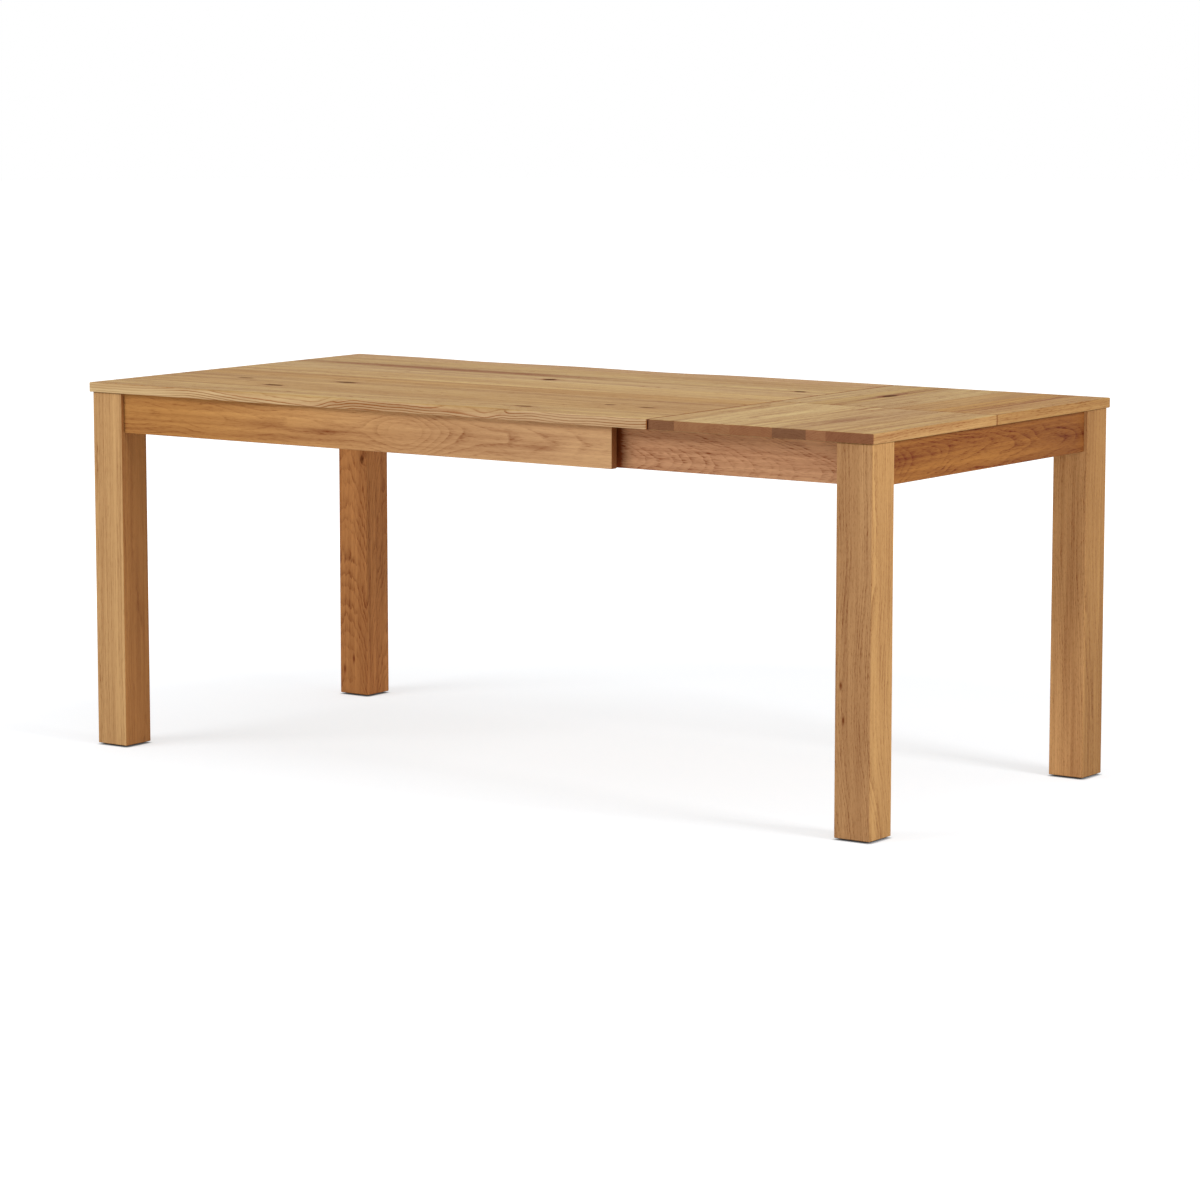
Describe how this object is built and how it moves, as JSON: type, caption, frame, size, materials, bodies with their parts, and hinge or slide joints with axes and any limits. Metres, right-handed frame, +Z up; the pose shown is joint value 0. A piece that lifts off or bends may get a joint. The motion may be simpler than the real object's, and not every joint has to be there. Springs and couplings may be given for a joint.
{
  "type": "extending dining table",
  "caption": "Oiled oak dining table with square legs and a waney-edged top. An end frame draws out on ball-bearing slides and carries a folding leaf.",
  "frame": {"origin": "on the floor, under the middle of the drawn-out table", "axes": "+X along the table to the end that draws out, -Y to the front, +Z up"},
  "size_m": [1.9, 0.9, 0.76],
  "materials": {
    "oak_top": "oiled",
    "oak_leaf": "oiled",
    "oak_leg": "oiled",
    "oak_rail": "oiled",
    "beech": "planed, unfinished",
    "zinc_steel": "zinc plated",
    "brass": "satin",
    "glide_nylon": "moulded"
  },
  "bodies": {
    "fixed_frame": {"main_top": "oak_top", "left_end_rail": "oak_rail", "front_outer_rail": "oak_rail", "back_outer_rail": "oak_rail", "leg_left_front": "oak_leg", "glide_left_front": "glide_nylon", "corner_block_left_front": "beech", "corner_bolt_left_front": "zinc_steel", "corner_nut_left_front": "zinc_steel", "leg_left_back": "oak_leg", "glide_left_back": "glide_nylon", "corner_block_left_back": "beech", "corner_bolt_left_back": "zinc_steel", "corner_nut_left_back": "zinc_steel", "slide_channel_front": "zinc_steel", "top_screw_front_1": "zinc_steel", "top_screw_front_2": "zinc_steel", "top_screw_front_3": "zinc_steel", "channel_screw_front_1": "zinc_steel", "channel_screw_front_2": "zinc_steel", "slide_channel_back": "zinc_steel", "top_screw_back_1": "zinc_steel", "top_screw_back_2": "zinc_steel", "top_screw_back_3": "zinc_steel", "channel_screw_back_1": "zinc_steel", "channel_screw_back_2": "zinc_steel"},
    "sliding_frame": {"right_end_rail": "oak_rail", "front_sliding_rail": "oak_rail", "back_sliding_rail": "oak_rail", "stretcher_tail": "beech", "stretcher_middle": "beech", "leg_right_front": "oak_leg", "glide_right_front": "glide_nylon", "corner_block_right_front": "beech", "corner_bolt_right_front": "zinc_steel", "corner_nut_right_front": "zinc_steel", "leg_right_back": "oak_leg", "glide_right_back": "glide_nylon", "corner_block_right_back": "beech", "corner_bolt_right_back": "zinc_steel", "corner_nut_right_back": "zinc_steel", "slide_runner_front": "zinc_steel", "runner_screw_front_1": "zinc_steel", "runner_screw_front_2": "zinc_steel", "slide_runner_back": "zinc_steel", "runner_screw_back_1": "zinc_steel", "runner_screw_back_2": "zinc_steel"},
    "ball_cages": {"ball_cage_front_upper": "zinc_steel", "ball_cage_front_lower": "zinc_steel", "ball_cage_back_upper": "zinc_steel", "ball_cage_back_lower": "zinc_steel"},
    "leaf_front": {"leaf_front_half": "oak_leaf", "hinge_barrel_front_1": "brass", "hinge_barrel_front_2": "brass"},
    "leaf_back": {"leaf_back_half": "oak_leaf", "hinge_barrel_back_1": "brass", "hinge_barrel_back_2": "brass"}
  },
  "joints": [
    {"name": "frame_slide", "type": "slide", "parent": "fixed_frame", "child": "sliding_frame", "axis": [1, 0, 0], "range_m": [-0.5, 0]},
    {"name": "cage_slide", "type": "slide", "parent": "fixed_frame", "child": "ball_cages", "axis": [1, 0, 0], "range_m": [-0.25, 0]},
    {"name": "leaf_lift", "type": "slide", "parent": "fixed_frame", "child": "leaf_front", "axis": [0, 0, 1], "range_m": [0, 0.25]},
    {"name": "leaf_fold", "type": "hinge", "parent": "leaf_front", "child": "leaf_back", "pos_m": [0.7, 0, 0.7603], "axis": [1, 0, 0], "range_deg": [0, 180]}
  ],
  "couplings": [
    {"joint": "cage_slide", "follows": "frame_slide", "ratio": 0.5}
  ]
}
